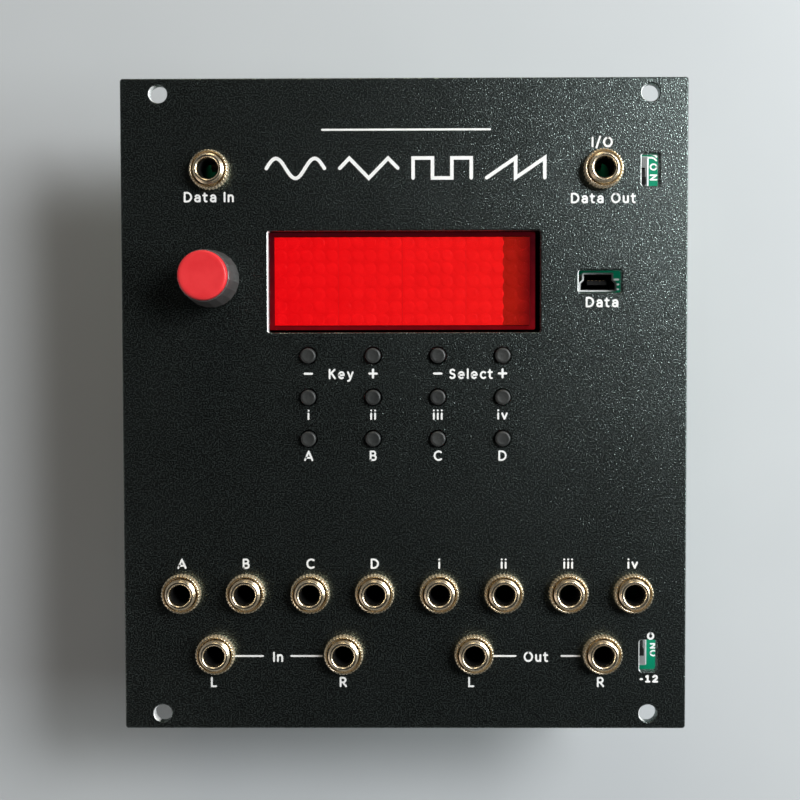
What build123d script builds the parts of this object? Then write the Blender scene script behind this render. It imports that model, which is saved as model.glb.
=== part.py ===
"""A synthesiser module for a 3U rack, lying on its back.

Millimetres. +Z points out of the front panel, +X to the panel's right and +Y to its top.
The origin is the middle of the footprint, on the plane that the tops of the rear
capacitors rest on. Heights build up from there: capacitors, main board, headers, front
board, controls, panel, knob.
"""

from build123d import *
from math import cos, pi, sin
import os

os.makedirs("parts", exist_ok=True)

# Stack of layers, from the rest plane up
can_height = 9.4
can_base_thickness = 0.8
board_thickness = 1.6
board_gap = 11.0
panel_gap = 10.0
panel_thickness = 2.0
main_board_back = can_height + can_base_thickness
main_board_front = main_board_back + board_thickness
front_board_back = main_board_front + board_gap
front_board_front = front_board_back + board_thickness
panel_back = front_board_front + panel_gap
panel_front = panel_back + panel_thickness

# Front panel
panel_width = 111.4
panel_height = 128.5
panel_corner_radius = 0.6
rail_hole_diameter = 3.5
rail_hole_left_margin = 7.5
rail_hole_right_margin = 7.38
rail_hole_end_margin = 3.0
slot_corner_radius = 0.5

# Places of the controls: columns spread evenly over the panel, rows by height on it
left_column_margin = 11.5
right_column_margin = 10.55
column_count = 8
column_span = panel_width - left_column_margin - right_column_margin
column_pitch = column_span / (column_count - 1)
audio_column_shares = (0.523, 2.515, 4.536, 6.526)
data_column_shares = (0.478, 6.516)
button_column_shares = (1.98, 2.98, 3.98, 4.98)
knob_column_share = 0.492
usb_column_share = 6.484
signal_row_y = -37.1
audio_row_y = -49.2
data_row_y = 46.3
display_row_y = 24.45
knob_row_y = 25.0
button_row_y = 1.7
button_row_pitch = 8.2
button_row_shares = (1, 0, -1)

# Jack sockets
jack_bore_diameter = 3.6
jack_thread_diameter = 6.0
jack_hole_slack = 0.2
jack_proud = 2.9
jack_neck_diameter = 5.0
jack_mouth_chamfer = 0.3
jack_rim_chamfer = 0.25
jack_body_width = 9.0
jack_body_length = 10.5
jack_body_shift = 0.75
jack_wall = 1.0
jack_top_wall = 1.5
jack_corner_chamfer = 0.5
jack_window_width = 4.6
jack_window_height = 5.0
jack_spring_width = 1.6
jack_spring_thickness = 0.3
jack_spring_length_shares = (0.93, 0.93, 0.30, 0.24, 0.42)
jack_spring_height_shares = (0.0, 0.70, 0.55, 0.44, 0.26)
jack_lug_width = 2.4
jack_lug_thickness = 0.3
jack_lug_height_share = 0.85

# Ring nuts on the jacks
nut_diameter = 7.8
nut_height = 2.0
nut_knurl_depth = 0.22
nut_knurl_count = 34
nut_mouth_chamfer = 0.4
thread_slack = 0.05

# Push buttons
button_diameter = 3.0
button_proud = 1.0
button_hole_slack = 0.3
button_rim_chamfer = 0.3
button_travel = 0.25
button_stop_gap = 0.05
button_flange_width = 0.45
button_flange_thickness = 0.8
button_base_width = 6.0
button_base_height = 3.2
button_base_floor = 0.8
button_cavity_slack = 0.3
button_cover_width = 5.8
button_cover_thickness = 0.3
button_cover_slack = 0.15
button_claw_width = 0.8
button_claw_place_share = 0.36

# Knob, and the rotary encoder under it
knob_base_diameter = 11.3
knob_top_diameter = 10.0
knob_facet_count = 20
knob_lift = 0.9
knob_height = 10.5
knob_recess_diameter = 8.8
knob_recess_depth = 1.6
cap_diameter = 9.4
cap_thickness = 1.4
cap_rim_fillet = 0.5
cap_spigot_diameter = 7.6
cap_spigot_depth = 0.8
shaft_diameter = 6.0
shaft_flat_depth = 1.5
shaft_flat_length = 5.0
shaft_end_gap = 1.1
shaft_tip_diameter = 3.6
shaft_tip_flat_share = 0.7
running_clearance = 0.05
encoder_hole_slack = 0.3
encoder_bushing_diameter = 7.0
encoder_bushing_proud = 1.5
encoder_flange_diameter = 9.0
encoder_flange_thickness = 0.8
encoder_width = 12.0
encoder_length = 12.6
encoder_base_height = 2.0
encoder_can_height = 4.5
encoder_wall = 0.4
encoder_tab_width = 2.0
encoder_tab_thickness = 0.4
rotor_diameter = 8.6
rotor_thickness = 1.8
rotor_floor_gap = 0.5
knob_press_travel = 0.5

# Display: dot-matrix tiles one column wide, the window that frames them, and its filter
tile_count = 4
tile_height = 17.78
tile_slack = 0.1
tile_depth_gap = 0.5
tile_shift = -0.4
tile_rise = 0.35
window_side_margin = 1.3
window_end_margin = 1.085
window_width = tile_count * column_pitch + 2 * window_side_margin
window_height = tile_height + 2 * window_end_margin
window_corner_radius = 0.4
filter_margin = 1.2
filter_thickness = 1.5

# Slide switches under the two narrow slots
switch_slot_width = 3.5
switch_slot_height = 6.3
upper_slot_y = 46.2
lower_slot_y = -49.7
switch_shell_width = 3.0
switch_shell_length = 8.5
switch_shell_height = 3.5
switch_shell_wall = 0.25
switch_base_height = 1.4
lever_width = 1.1
lever_length = 1.5
lever_travel = 2.0
lever_proud = 1.8
lever_foot_margin = 0.35
lever_foot_thickness = 1.0
lever_gap = 0.15

# Upright mini USB socket
usb_slot_width = 8.5
usb_slot_height = 4.4
usb_drop = 1.0
usb_wide_width = 6.9
usb_narrow_width = 5.6
usb_inner_height = 3.15
usb_step_shares = (0.42, 0.62)
usb_shell_wall = 0.3
usb_block_height = 3.0
usb_block_slack = 0.05
usb_tongue_width = 3.9
usb_tongue_thickness = 0.9
usb_tongue_drop = 1.2
usb_contact_count = 5
usb_contact_pitch = 0.75
usb_contact_width = 0.35
usb_contact_thickness = 0.12
usb_contact_drop = 0.8

# Boards, and what joins them
board_side_margin = 1.7
board_width = panel_width - 2 * board_side_margin
front_board_height = 110.4
main_board_height = 97.0
board_corner_radius = 1.5
standoff_inset = 4.0
upper_standoff_y = 34.0
lower_standoff_y = -24.0
standoff_width = 5.5
standoff_bore_diameter = 3.0
screw_slack = 0.2
screw_head_diameter = 5.4
screw_head_height = 1.9
screw_head_chamfer = 0.5
screw_reach = 4.5
screw_slot_width = 0.9
screw_slot_depth = 0.8
header_length = 40.64
header_width = 5.08
header_plug_height = 2.5
header_row_shares = (0.38, -0.32)

# Power header on the back
shroud_length = 20.3
shroud_width = 8.9
shroud_height = 9.1
shroud_wall = 1.2
shroud_floor = 2.0
shroud_key_width = 4.5
shroud_row_share = -0.39
power_pin_pitch = 2.54
power_pin_width = 0.64
power_pin_drop = 1.2
power_pin_columns = 5

# Capacitors on the back, which the module lies on
can_diameter = 10.0
can_groove_depth = 0.35
can_groove_height = 1.0
can_groove_lift = 1.2
can_rim_fillet = 0.6
can_base_width = 10.3
can_base_chamfer = 1.6
can_shares = (-0.355, 0.355)

# Chips and small parts on the back
processor_width = 23.0
processor_substrate_thickness = 0.6
processor_mould_width = 19.5
processor_mould_thickness = 1.1
processor_shares = (0.0, 0.08)
memory_width = 8.0
memory_length = 13.0
memory_thickness = 1.1
memory_shares = ((0.2, 0.14), (0.2, -0.03))
converter_width = 4.4
converter_length = 9.7
converter_thickness = 1.1
converter_lead_count = 14
converter_lead_pitch = 0.65
converter_shares = ((-0.2, 0.14), (-0.2, -0.02))
amplifier_width = 3.9
amplifier_length = 4.9
amplifier_thickness = 1.5
amplifier_lead_count = 4
amplifier_lead_pitch = 1.27
amplifier_column_shares = (-0.41, -0.31)
amplifier_row_shares = (0.16, 0.05, -0.06)
coupler_width = 4.6
coupler_length = 7.4
coupler_thickness = 2.2
coupler_lead_count = 3
coupler_lead_pitch = 2.54
coupler_shares = (-0.2, 0.34)
regulator_width = 3.5
regulator_length = 6.5
regulator_thickness = 1.7
regulator_lead_count = 3
regulator_lead_pitch = 2.3
regulator_shares = ((-0.26, -0.25), (-0.14, -0.25), (-0.02, -0.25))
lead_reach = 1.0
lead_width_share = 0.45
lead_thickness = 0.25
lead_lift_share = 0.45
inductor_width = 6.0
inductor_height = 3.0
inductor_corner_radius = 1.2
inductor_shares = ((0.12, -0.25), (0.22, -0.25))
crystal_length = 11.0
crystal_width = 4.6
crystal_height = 3.4
crystal_fillet = 0.4
crystal_shares = (0.2, 0.3)
chip_length = 2.0
chip_width = 1.25
chip_height = 0.6
chip_end_share = 0.22
chip_end_growth = 0.04
chip_row_place_shares = (-0.12, -0.08, -0.04, 0.0, 0.04, 0.08, 0.12)
chip_row_height_shares = (0.25, -0.1)
chip_column_place_share = 0.32
chip_column_height_shares = (0.2, 0.14, 0.08, 0.02, -0.04, -0.1)

# Shapes are drawn standing on their seat
SEATED = (Align.CENTER, Align.CENTER, Align.MIN)


def block(length, width, height, x=0, y=0, z=0):
    """A box standing on the point given."""
    return Pos(x, y, z) * Box(length, width, height, align=SEATED)


def rod(diameter, height, x=0, y=0, z=0):
    """An upright cylinder standing on the point given."""
    return Pos(x, y, z) * Cylinder(diameter / 2, height, align=SEATED)


def turned(points):
    """A ring turned about Z from its half section of (radius, height) points."""
    section = make_face(Polyline(*points, close=True))
    return revolve(Plane.XZ * section, Axis.Z)


def hung(shape, x, y):
    """The shape, drawn upright on its seat, turned over under the main board."""
    return Pos(x, y, main_board_back) * Rot(180, 0, 0) * shape


def column(share):
    """X of a column, counted in pitches from the first."""
    return left_column_margin - panel_width / 2 + share * column_pitch


def save(name, *shapes):
    """Write the solids of the shapes as one named piece."""
    solids = [solid for shape in shapes for solid in shape.solids()]
    body = solids[0] if len(solids) == 1 else Compound(children=solids)
    export_step(body, f"parts/{name}.step")


signal_jacks = [(column(c), signal_row_y) for c in range(column_count)]
audio_jacks = [(column(c), audio_row_y) for c in audio_column_shares]
data_jacks = [(column(c), data_row_y) for c in data_column_shares]
jacks = signal_jacks + audio_jacks + data_jacks

button_rows = [button_row_y + r * button_row_pitch for r in button_row_shares]
buttons = [(column(c), y) for y in button_rows for c in button_column_shares]

rail_left = rail_hole_left_margin - panel_width / 2
rail_right = panel_width / 2 - rail_hole_right_margin
rail_top = panel_height / 2 - rail_hole_end_margin
rail_holes = [(x, y) for x in (rail_left, rail_right) for y in (-rail_top, rail_top)]

knob_x = column(knob_column_share)
usb_x = column(usb_column_share)
slots = ((rail_right, upper_slot_y), (rail_right, lower_slot_y))

standoff_x = board_width / 2 - standoff_inset
standoffs = [
    (x, y) for x in (-standoff_x, standoff_x) for y in (upper_standoff_y, lower_standoff_y)
]


def front_panel():
    """The plate, with a hole or slot for each thing that passes or shows through it."""
    plate = RectangleRounded(panel_width, panel_height, panel_corner_radius)
    jack_hole = Circle((jack_thread_diameter + jack_hole_slack) / 2)
    button_hole = Circle(button_diameter / 2 + button_hole_slack)
    slot = RectangleRounded(switch_slot_width, switch_slot_height, slot_corner_radius)
    plate -= [Pos(x, y) * Circle(rail_hole_diameter / 2) for x, y in rail_holes]
    plate -= [Pos(x, y) * jack_hole for x, y in jacks]
    plate -= [Pos(x, y) * button_hole for x, y in buttons]
    plate -= [Pos(x, y) * slot for x, y in slots]
    plate -= Pos(knob_x, knob_row_y) * Circle(
        encoder_bushing_diameter / 2 + encoder_hole_slack
    )
    plate -= Pos(0, display_row_y) * RectangleRounded(
        window_width, window_height, window_corner_radius
    )
    plate -= Pos(usb_x, display_row_y) * RectangleRounded(
        usb_slot_width, usb_slot_height, slot_corner_radius
    )
    return extrude(Pos(0, 0, panel_back) * plate, panel_thickness)


def jack_body():
    """A moulded case open at its foot, with a window on the spring's side."""
    case = block(jack_body_width, jack_body_length, panel_gap, y=jack_body_shift)
    case = chamfer(case.edges().filter_by(Axis.Z), jack_corner_chamfer)
    inside_height = panel_gap - jack_top_wall
    inside_length = jack_body_length - 2 * jack_wall
    case -= block(
        jack_body_width - 2 * jack_wall, inside_length, inside_height, y=jack_body_shift
    )
    case -= rod(jack_neck_diameter, panel_gap)
    window_y = jack_body_shift + (jack_body_length - jack_wall) / 2
    window = block(jack_window_width, jack_wall + jack_corner_chamfer, jack_window_height)
    return case - Pos(0, window_y, 0) * window


def jack_bushing():
    """The metal sleeve that takes the plug, seated in the case's top wall."""
    bore = jack_bore_diameter / 2
    neck = jack_neck_diameter / 2
    thread = jack_thread_diameter / 2
    foot = panel_gap - jack_top_wall
    top = panel_gap + panel_thickness + jack_proud
    return turned(
        (
            (bore, foot),
            (neck, foot),
            (neck, panel_gap),
            (thread, panel_gap),
            (thread, top - jack_rim_chamfer),
            (thread - jack_rim_chamfer, top),
            (bore + jack_mouth_chamfer, top),
            (bore, top - jack_mouth_chamfer),
        )
    )


def jack_spring():
    """The bent leaf that presses on the plug's tip."""
    reach = jack_body_shift + jack_body_length / 2 - jack_wall
    points = [
        (reach * length, panel_gap * height)
        for length, height in zip(jack_spring_length_shares, jack_spring_height_shares)
    ]
    strip = trace(Polyline(*points), jack_spring_thickness)
    standing = Plane.YZ * strip
    leaf = extrude(standing, jack_spring_width / 2, both=True)
    low = leaf.bounding_box().min.Z
    return Pos(0, 0, -low) * leaf


def jack_lug():
    """The ground strip down the front of the case."""
    y = jack_body_shift - (jack_body_length + jack_lug_thickness) / 2
    height = panel_gap * jack_lug_height_share
    return block(jack_lug_width, jack_lug_thickness, height, y=y)


def ring_nut():
    """A round nut with a knurled edge and a countersunk mouth."""
    step = pi / nut_knurl_count
    tip = nut_diameter / 2
    root = tip - nut_knurl_depth
    points = [
        ((root, tip)[i % 2] * cos(i * step), (root, tip)[i % 2] * sin(i * step))
        for i in range(2 * nut_knurl_count)
    ]
    nut = extrude(make_face(Polyline(*points, close=True)), nut_height)
    bore = jack_thread_diameter / 2 + thread_slack
    mouth = bore + nut_mouth_chamfer
    return nut - turned(
        (
            (0, 0),
            (bore, 0),
            (bore, nut_height - nut_mouth_chamfer),
            (mouth, nut_height),
            (0, nut_height),
        )
    )


def button_base():
    """The switch's moulded base, hollow where the plunger works."""
    base = block(button_base_width, button_base_width, button_base_height)
    cavity = button_diameter + 2 * (button_flange_width + button_cavity_slack)
    return base - rod(cavity, button_base_height, z=button_base_floor)


def button_cover():
    """The metal lid of a switch, with four claws bent down its sides."""
    lid = block(
        button_base_width, button_cover_width, button_cover_thickness, z=button_base_height
    )
    lid -= rod(
        button_diameter + 2 * button_cover_slack, button_cover_thickness, z=button_base_height
    )
    claw_height = button_base_height + button_cover_thickness
    claw_x = (button_base_width + button_cover_thickness) / 2
    claw_y = button_base_width * button_claw_place_share
    for side in (-1, 1):
        for end in (-1, 1):
            lid += block(
                button_cover_thickness,
                button_claw_width,
                claw_height,
                x=side * claw_x,
                y=end * claw_y,
            )
    return lid


def button_plunger():
    """The round stem that shows in the panel, with a flange held under the lid."""
    stem = button_diameter / 2
    flange = stem + button_flange_width
    seat = button_base_height - button_stop_gap
    foot = seat - button_flange_thickness
    top = panel_gap + panel_thickness + button_proud
    return turned(
        (
            (0, foot),
            (flange, foot),
            (flange, seat),
            (stem, seat),
            (stem, top - button_rim_chamfer),
            (stem - button_rim_chamfer, top),
            (0, top),
        )
    )


encoder_top = encoder_base_height + encoder_can_height
cap_seat = knob_height - cap_thickness
shaft_top = panel_gap + panel_thickness + cap_seat - cap_spigot_depth - shaft_end_gap
rotor_foot = encoder_base_height + rotor_floor_gap
rotor_top = rotor_foot + rotor_thickness


def encoder_base():
    """The moulded foot of the encoder, dished so that the pressed shaft clears it."""
    base = block(encoder_width, encoder_length, encoder_base_height)
    well = shaft_tip_diameter + 2 * encoder_hole_slack
    dish = 2 * knob_press_travel
    return base - rod(well, dish, z=encoder_base_height - dish)


def encoder_can():
    """The folded metal case, open below, with a tab down each side."""
    can = block(encoder_width, encoder_length, encoder_can_height, z=encoder_base_height)
    can -= block(
        encoder_width - 2 * encoder_wall,
        encoder_length - 2 * encoder_wall,
        encoder_can_height - encoder_wall,
        z=encoder_base_height,
    )
    can -= rod(encoder_bushing_diameter, encoder_top)
    tab_x = (encoder_width + encoder_tab_thickness) / 2
    for side in (-1, 1):
        can += block(
            encoder_tab_thickness, encoder_tab_width, encoder_top, x=side * tab_x
        )
    return can


def encoder_bushing():
    """The sleeve that guides the shaft up through the panel."""
    bore = shaft_diameter / 2 + running_clearance
    sleeve = encoder_bushing_diameter / 2
    flange = encoder_flange_diameter / 2
    top = panel_gap + panel_thickness + encoder_bushing_proud
    seat = encoder_top - encoder_wall
    return turned(
        (
            (bore, seat),
            (sleeve, seat),
            (sleeve, encoder_top),
            (flange, encoder_top),
            (flange, encoder_top + encoder_flange_thickness),
            (sleeve, encoder_top + encoder_flange_thickness),
            (sleeve, top),
            (bore, top),
        )
    )


def tip_outline(growth):
    """The shaft's lower end in section: a round with two flats."""
    radius = shaft_tip_diameter / 2 + growth
    across = shaft_tip_diameter * shaft_tip_flat_share + 2 * growth
    return Circle(radius) & Rectangle(2 * radius, across)


def encoder_rotor():
    """The contact disc, turned by the flats of the shaft that slides through it."""
    disc = rod(rotor_diameter, rotor_thickness, z=rotor_foot)
    hole = extrude(Pos(0, 0, rotor_foot) * tip_outline(running_clearance), rotor_thickness)
    return disc - hole


def encoder_shaft():
    """The shaft: a flatted tip in the rotor, a round in the bushing, a flat for the knob."""
    shoulder = rotor_top + knob_press_travel + running_clearance
    shaft = rod(shaft_diameter, shaft_top - shoulder, z=shoulder)
    flat_y = (shaft_diameter - shaft_flat_depth) / 2
    flat_z = shaft_top - shaft_flat_length
    shaft -= block(
        shaft_diameter, shaft_flat_depth, shaft_flat_length, y=flat_y, z=flat_z
    )
    tip = Pos(0, 0, encoder_base_height) * tip_outline(0)
    return shaft + extrude(tip, shoulder - encoder_base_height)


knob_foot = panel_gap + panel_thickness + knob_lift
knob_top = panel_gap + panel_thickness + cap_seat


def knob_body():
    """The tapered grip with flat facets, hollow over the bushing and bored for the shaft."""
    base = Pos(0, 0, knob_foot) * RegularPolygon(knob_base_diameter / 2, knob_facet_count)
    top = Pos(0, 0, knob_top) * RegularPolygon(knob_top_diameter / 2, knob_facet_count)
    grip = loft([base, top])
    grip -= rod(knob_recess_diameter, knob_recess_depth, z=knob_foot)
    bore = rod(shaft_diameter, shaft_top - knob_foot, z=knob_foot)
    flat_y = (shaft_diameter - shaft_flat_depth) / 2
    bore -= block(
        shaft_diameter,
        shaft_flat_depth,
        shaft_flat_length,
        y=flat_y,
        z=shaft_top - shaft_flat_length,
    )
    grip -= bore
    return grip - rod(cap_spigot_diameter, cap_spigot_depth, z=knob_top - cap_spigot_depth)


def knob_cap():
    """The coloured cap: a disc with a rounded rim and a spigot pressed into the grip."""
    disc = rod(cap_diameter, cap_thickness, z=knob_top)
    rim = disc.edges().filter_by(GeomType.CIRCLE).sort_by(Axis.Z)[-1]
    disc = fillet(rim, cap_rim_fillet)
    return disc + rod(cap_spigot_diameter, cap_spigot_depth, z=knob_top - cap_spigot_depth)


def filter_sheet():
    """The tinted sheet behind the window."""
    width = window_width + 2 * filter_margin
    height = window_height + 2 * filter_margin
    return block(
        width, height, filter_thickness, y=display_row_y, z=panel_back - filter_thickness
    )


def display_tile(index):
    """One dot-matrix tile, standing on the board."""
    place_share = index - (tile_count - 1) / 2
    x = tile_shift + place_share * column_pitch
    depth = panel_gap - filter_thickness - tile_depth_gap
    return block(
        column_pitch - tile_slack,
        tile_height - tile_slack,
        depth,
        x=x,
        y=display_row_y + tile_rise,
        z=front_board_front,
    )


lever_slot_length = lever_length + lever_travel + 2 * lever_gap
lever_foot_floor = switch_base_height + lever_gap
lever_foot_top = lever_foot_floor + lever_foot_thickness


def switch_shell():
    """The folded cover of a slide switch, with the slot that the lever runs in."""
    shell = block(switch_shell_width, switch_shell_length, switch_shell_height)
    shell -= block(
        switch_shell_width - 2 * switch_shell_wall,
        switch_shell_length - 2 * switch_shell_wall,
        switch_shell_height - switch_shell_wall,
    )
    return shell - block(
        lever_width + 2 * lever_gap, lever_slot_length, switch_shell_height
    )


def switch_base():
    """The insulating block inside a slide switch's cover."""
    return block(
        switch_shell_width - 2 * switch_shell_wall,
        switch_shell_length - 2 * switch_shell_wall,
        switch_base_height,
    )


def switch_lever():
    """A slide switch's lever at the lower end of its travel, with its foot inside the cover."""
    y = -lever_travel / 2
    foot_room = switch_shell_width - 2 * switch_shell_wall - 2 * lever_gap
    foot = block(
        foot_room,
        lever_length + 2 * lever_foot_margin,
        lever_foot_thickness,
        y=y,
        z=lever_foot_floor,
    )
    height = switch_shell_height + lever_proud - lever_foot_top
    return foot + block(lever_width, lever_length, height, y=y, z=lever_foot_top)


def usb_outline():
    """The socket's mouth: wide below, stepped in above."""
    wide = usb_wide_width / 2
    narrow = usb_narrow_width / 2
    low = -usb_inner_height / 2
    step = [low + share * usb_inner_height for share in usb_step_shares]
    points = (
        (-wide, low),
        (wide, low),
        (wide, step[0]),
        (narrow, step[1]),
        (narrow, -low),
        (-narrow, -low),
        (-narrow, step[1]),
        (-wide, step[0]),
    )
    return make_face(Polyline(*points, close=True))


usb_top = panel_gap - usb_drop


def usb_shield():
    """The socket's steel skin."""
    mouth = usb_outline()
    skin = offset(mouth, usb_shell_wall) - mouth
    return extrude(skin, usb_top)


def usb_block():
    """The socket's insulating block and the tongue that carries the contacts."""
    filling = extrude(offset(usb_outline(), -usb_block_slack), usb_block_height)
    return filling + block(usb_tongue_width, usb_tongue_thickness, usb_top - usb_tongue_drop)


def usb_contacts():
    """Five strips on the upper face of the tongue."""
    y = (usb_tongue_thickness + usb_contact_thickness) / 2
    height = usb_top - usb_tongue_drop - usb_contact_drop - usb_block_height
    first = -(usb_contact_count - 1) / 2
    return [
        block(
            usb_contact_width,
            usb_contact_thickness,
            height,
            x=(first + i) * usb_contact_pitch,
            y=y,
            z=usb_block_height,
        )
        for i in range(usb_contact_count)
    ]


def circuit_board(height, z):
    """A board with a clearance hole at each standoff."""
    outline = RectangleRounded(board_width, height, board_corner_radius)
    hole = Circle((standoff_bore_diameter + screw_slack) / 2)
    outline -= [Pos(x, y) * hole for x, y in standoffs]
    return extrude(Pos(0, 0, z) * outline, board_thickness)


def standoff():
    """A hexagonal spacer with a hole right through."""
    hexagon = RegularPolygon(standoff_width / 2, side_count=6, major_radius=False)
    return extrude(hexagon - Circle(standoff_bore_diameter / 2), board_gap)


def screw():
    """A slotted pan-head screw, drawn head up with its seat at zero."""
    head = rod(screw_head_diameter, screw_head_height)
    rim = head.edges().filter_by(GeomType.CIRCLE).sort_by(Axis.Z)[-1]
    head = chamfer(rim, screw_head_chamfer)
    slot_z = screw_head_height - screw_slot_depth
    head -= block(screw_head_diameter, screw_slot_width, screw_slot_depth, z=slot_z)
    shank = standoff_bore_diameter - 2 * thread_slack
    reach = board_thickness + screw_reach
    return head + rod(shank, reach, z=-reach)


def power_shroud():
    """The keyed box round the power pins, drawn mouth up."""
    box = block(shroud_length, shroud_width, shroud_height)
    box -= block(
        shroud_length - 2 * shroud_wall,
        shroud_width - 2 * shroud_wall,
        shroud_height,
        z=shroud_floor,
    )
    key_y = (shroud_width - shroud_wall) / 2
    return box - block(
        shroud_key_width, 2 * shroud_wall, shroud_height, y=key_y, z=shroud_floor
    )


def power_pins():
    """Two rows of square pins, standing on the box's floor."""
    height = shroud_height - shroud_floor - power_pin_drop
    first = -(power_pin_columns - 1) / 2
    return [
        block(
            power_pin_width,
            power_pin_width,
            height,
            x=(first + i) * power_pin_pitch,
            y=row * power_pin_pitch / 2,
            z=shroud_floor,
        )
        for i in range(power_pin_columns)
        for row in (-1, 1)
    ]


def capacitor_base():
    """The square foot of a capacitor, with two corners cut off to mark its polarity."""
    base = block(can_base_width, can_base_width, can_base_thickness)
    corners = base.edges().filter_by(Axis.Z).sort_by(Axis.X)[-2:]
    return chamfer(corners, can_base_chamfer)


def capacitor_can():
    """A drawn can with a rounded top rim and a rolled groove near its foot."""
    wall = can_diameter / 2
    groove = wall - can_groove_depth
    groove_low = can_base_thickness + can_groove_lift
    top = can_base_thickness + can_height
    can = turned(
        (
            (0, can_base_thickness),
            (wall, can_base_thickness),
            (wall, groove_low),
            (groove, groove_low + can_groove_height / 2),
            (wall, groove_low + can_groove_height),
            (wall, top),
            (0, top),
        )
    )
    rim = can.edges().filter_by(GeomType.CIRCLE).sort_by(Axis.Z)[-1]
    return fillet(rim, can_rim_fillet)


def leaded_chip(width, length, thickness, count, pitch):
    """A moulded chip with a row of bent leads down each long side."""
    body = block(width, length, thickness)
    lift = thickness * lead_lift_share
    lead_width = pitch * lead_width_share
    first = -(count - 1) / 2
    for side in (-1, 1):
        for i in range(count):
            y = (first + i) * pitch
            shoulder = width / 2 + lead_reach / 4
            toe = width / 2 + lead_reach * 3 / 4
            body += block(lead_reach / 2, lead_width, lead_thickness, side * shoulder, y, lift)
            body += block(
                lead_thickness,
                lead_width,
                lift + lead_thickness,
                side * (width + lead_reach) / 2,
                y,
            )
            body += block(lead_reach / 2, lead_width, lead_thickness, side * toe, y)
    return body


def processor():
    """The main chip: a thin square carrier with a smaller moulding on it."""
    carrier = block(processor_width, processor_width, processor_substrate_thickness)
    return carrier + block(
        processor_mould_width,
        processor_mould_width,
        processor_mould_thickness,
        z=processor_substrate_thickness,
    )


def inductor():
    """A shielded power inductor with rounded corners."""
    outline = RectangleRounded(inductor_width, inductor_width, inductor_corner_radius)
    return extrude(outline, inductor_height)


def crystal():
    """The long low can of the clock crystal."""
    outline = SlotOverall(crystal_length, crystal_width)
    can = extrude(outline, crystal_height)
    return fillet(can.faces().sort_by(Axis.Z)[-1].edges(), crystal_fillet)


def small_chip():
    """A resistor or capacitor chip, a little fuller at its plated ends."""
    end = chip_length * chip_end_share
    middle = block(chip_length - 2 * end, chip_width, chip_height)
    for side in (-1, 1):
        middle += block(
            end,
            chip_width + 2 * chip_end_growth,
            chip_height + chip_end_growth,
            x=side * (chip_length - end) / 2,
        )
    return middle


def board_place(shares):
    """A place on the main board from shares of its width and height."""
    return shares[0] * board_width, shares[1] * main_board_height


def on_front_board(shape, places):
    """A copy of the shape, standing on the front board, at each place."""
    return [Pos(x, y, front_board_front) * shape for x, y in places]


def under_main_board(shape, shares):
    """A copy of the shape, hung under the main board, at each place."""
    return [hung(shape, *board_place(place)) for place in shares]


save("front_panel", front_panel())
save("filter_window", filter_sheet())
for number in range(tile_count):
    save(f"display_tile_{number + 1}", display_tile(number))

save("jack_bodies", *on_front_board(jack_body(), jacks))
save("jack_bushings", *on_front_board(jack_bushing(), jacks))
save("jack_springs", *on_front_board(jack_spring(), jacks))
save("jack_lugs", *on_front_board(jack_lug(), jacks))
save("jack_nuts", *[Pos(x, y, panel_front) * ring_nut() for x, y in jacks])

save("button_bases", *on_front_board(button_base(), buttons))
save("button_covers", *on_front_board(button_cover(), buttons))
for number, place in enumerate(buttons):
    save(f"button_{number + 1}", *on_front_board(button_plunger(), [place]))

knob_place = [(knob_x, knob_row_y)]
save("encoder_base", *on_front_board(encoder_base(), knob_place))
save("encoder_can", *on_front_board(encoder_can(), knob_place))
save("encoder_bushing", *on_front_board(encoder_bushing(), knob_place))
save("encoder_rotor", *on_front_board(encoder_rotor(), knob_place))
save("encoder_shaft", *on_front_board(encoder_shaft(), knob_place))
save("knob_body", *on_front_board(knob_body(), knob_place))
save("knob_cap", *on_front_board(knob_cap(), knob_place))

save("switch_shells", *on_front_board(switch_shell(), slots))
save("switch_bases", *on_front_board(switch_base(), slots))
save("upper_lever", *on_front_board(switch_lever(), slots[:1]))
save("lower_lever", *on_front_board(switch_lever(), slots[1:]))

usb_place = [(usb_x, display_row_y)]
save("usb_shield", *on_front_board(usb_shield(), usb_place))
save("usb_block", *on_front_board(usb_block(), usb_place))
save("usb_contacts", *[c for s in usb_contacts() for c in on_front_board(s, usb_place)])

save("front_board", circuit_board(front_board_height, front_board_back))
save("main_board", circuit_board(main_board_height, main_board_back))
save("standoffs", *[Pos(x, y, main_board_front) * standoff() for x, y in standoffs])
save("front_screws", *on_front_board(screw(), standoffs))
save("rear_screws", *[hung(screw(), x, y) for x, y in standoffs])

header_rows = [share * main_board_height for share in header_row_shares]
socket_height = board_gap - header_plug_height
header_socket = block(header_length, header_width, socket_height, z=main_board_front)
save("header_sockets", *[Pos(0, y, 0) * header_socket for y in header_rows])
plug_foot = front_board_back - header_plug_height
header_plug = block(header_length, header_width, header_plug_height, z=plug_foot)
save("header_plugs", *[Pos(0, y, 0) * header_plug for y in header_rows])

power_place = (0, shroud_row_share)
save("power_shroud", *under_main_board(power_shroud(), [power_place]))
save("power_pins", *[p for s in power_pins() for p in under_main_board(s, [power_place])])

can_places = [(x, y) for x in can_shares for y in can_shares]
save("capacitor_bases", *under_main_board(capacitor_base(), can_places))
save("capacitor_cans", *under_main_board(capacitor_can(), can_places))

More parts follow.
